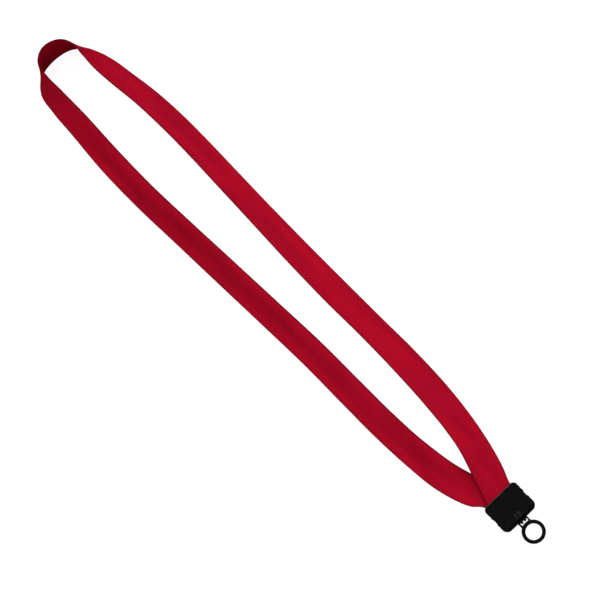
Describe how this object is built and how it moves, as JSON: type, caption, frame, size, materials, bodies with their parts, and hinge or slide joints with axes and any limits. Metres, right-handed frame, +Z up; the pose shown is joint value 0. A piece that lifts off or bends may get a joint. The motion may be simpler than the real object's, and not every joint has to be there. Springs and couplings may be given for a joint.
{
  "type": "neck lanyard",
  "caption": "Flat woven neck strap with its two ends held in a moulded clamshell, and a swinging moulded O-ring for a badge or keys.",
  "frame": {"origin": "middle of the clamshell's flat back face, which lies on the table", "axes": "+Z up out of the clamshell's front face, +Y along the clamshell's axis from the ring towards the strap, +X to the right seen from the front with the ring nearest"},
  "size_m": [0.0635, 0.4659, 0.0197],
  "materials": {
    "webbing": "matte red woven polyester webbing with dark edges",
    "moulding": "black moulded plastic with a fine even grain",
    "ring_moulding": "smooth black moulded plastic, satin"
  },
  "bodies": {
    "strap_and_back": {"neck_strap": "webbing", "back_cover": "moulding"},
    "front_half": {"front_cover": "moulding"},
    "ring": {"o_ring": "ring_moulding"}
  },
  "joints": [
    {"name": "clamshell_hinge", "type": "hinge", "parent": "strap_and_back", "child": "front_half", "pos_m": [0, -0.01065, 0.00325], "axis": [1, 0, 0], "range_deg": [0, 40]},
    {"name": "ring_swing", "type": "hinge", "parent": "strap_and_back", "child": "ring", "pos_m": [0, -0.01065, 0.00325], "axis": [1, 0, 0], "range_deg": [-50, 80]}
  ]
}
